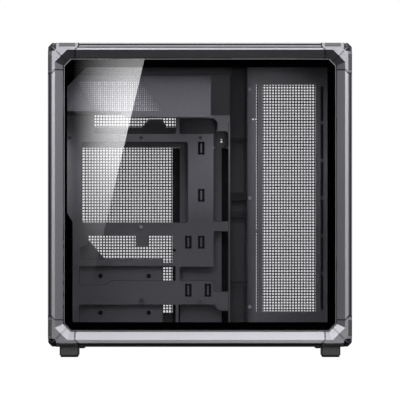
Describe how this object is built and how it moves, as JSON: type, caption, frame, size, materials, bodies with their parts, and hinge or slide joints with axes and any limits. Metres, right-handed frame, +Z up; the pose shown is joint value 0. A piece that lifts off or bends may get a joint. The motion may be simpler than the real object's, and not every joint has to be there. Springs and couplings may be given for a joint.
{
  "type": "computer case",
  "caption": "Upright desktop computer case with a bevelled metal frame, corner brackets, a tinted glass side, perforated panels, a board tray and block feet.",
  "frame": {"origin": "on the floor below the middle of the case", "axes": "+X towards the case's front, -Y towards the glass side, +Z up"},
  "size_m": [0.5, 0.25, 0.517],
  "materials": {
    "frame": "bead-blasted, anodised silver-grey",
    "pads": "fine matt",
    "foot_rubber": "matt",
    "feet": "matt",
    "glass": "tinted, polished",
    "border": "black, satin",
    "bright_steel": "plain",
    "black_plastic": "matt",
    "strap": "woven",
    "panel_steel": "dark grey powder coat",
    "slot_steel": "grey powder coat",
    "screw_black": "black oxide",
    "zinc_plate": "zinc plated",
    "io_plastic": "matt",
    "button": "anodised",
    "port": "matt",
    "chassis_steel": "grey powder coat"
  },
  "bodies": {
    "case": {"rail_top_left": "frame", "rail_top_right": "frame", "rail_bottom_left": "frame", "rail_bottom_right": "frame", "rail_rear_left": "frame", "rail_rear_right": "frame", "rail_front_left": "frame", "rail_front_right": "frame", "rail_top_rear": "frame", "rail_top_front": "frame", "rail_bottom_rear": "frame", "rail_bottom_front": "frame", "corner_top_rear_left": "frame", "corner_top_rear_right": "frame", "corner_top_front_left": "frame", "corner_top_front_right": "frame", "corner_bottom_rear_left": "frame", "corner_bottom_rear_right": "frame", "corner_bottom_front_left": "frame", "corner_bottom_front_right": "frame", "edge_pads": "pads", "foot_rear_left": "feet", "foot_rear_right": "feet", "foot_front_left": "feet", "foot_front_right": "feet", "foot_pads": "foot_rubber", "catch_blocks": "black_plastic", "bottom_panel": "panel_steel", "rear_panel": "panel_steel", "slot_cover_1": "slot_steel", "slot_cover_2": "slot_steel", "slot_cover_3": "slot_steel", "slot_cover_4": "slot_steel", "slot_cover_5": "slot_steel", "slot_cover_6": "slot_steel", "slot_cover_7": "slot_steel", "slot_screws": "screw_black", "motherboard_tray": "chassis_steel", "standoffs": "zinc_plate", "psu_shroud": "chassis_steel", "psu_shelf": "chassis_steel", "top_bracket": "chassis_steel", "side_fan_bracket": "chassis_steel", "fan_bracket_screws": "bright_steel", "cable_channel": "black_plastic", "cable_straps": "strap", "cable_cover": "chassis_steel", "drive_bracket_upper": "chassis_steel", "drive_bracket_lower": "chassis_steel", "io_strip": "io_plastic", "io_ports": "port"},
    "glass_side": {"glass_pane": "glass", "glass_border": "border", "catch_plates": "bright_steel"},
    "right_cover": {"right_panel": "panel_steel"},
    "top_cover": {"top_panel": "panel_steel"},
    "front_cover": {"front_panel": "panel_steel"},
    "power": {"power_button": "button"},
    "reset": {"reset_button": "button"}
  },
  "joints": [
    {"name": "glass_side_pull", "type": "slide", "parent": "case", "child": "glass_side", "axis": [0, -1, 0], "range_m": [0, 0.08]},
    {"name": "right_panel_pull", "type": "slide", "parent": "case", "child": "right_cover", "axis": [0, 1, 0], "range_m": [0, 0.08]},
    {"name": "top_panel_lift", "type": "slide", "parent": "case", "child": "top_cover", "axis": [0, 0, 1], "range_m": [0, 0.08]},
    {"name": "front_panel_pull", "type": "slide", "parent": "case", "child": "front_cover", "axis": [1, 0, 0], "range_m": [0, 0.08]},
    {"name": "power_press", "type": "slide", "parent": "case", "child": "power", "axis": [0, 0, -1], "range_m": [0, 0.0013], "stiffness_N_per_m": 400, "springref_m": -0.001},
    {"name": "reset_press", "type": "slide", "parent": "case", "child": "reset", "axis": [0, 0, -1], "range_m": [0, 0.0013], "stiffness_N_per_m": 250, "springref_m": -0.001}
  ]
}
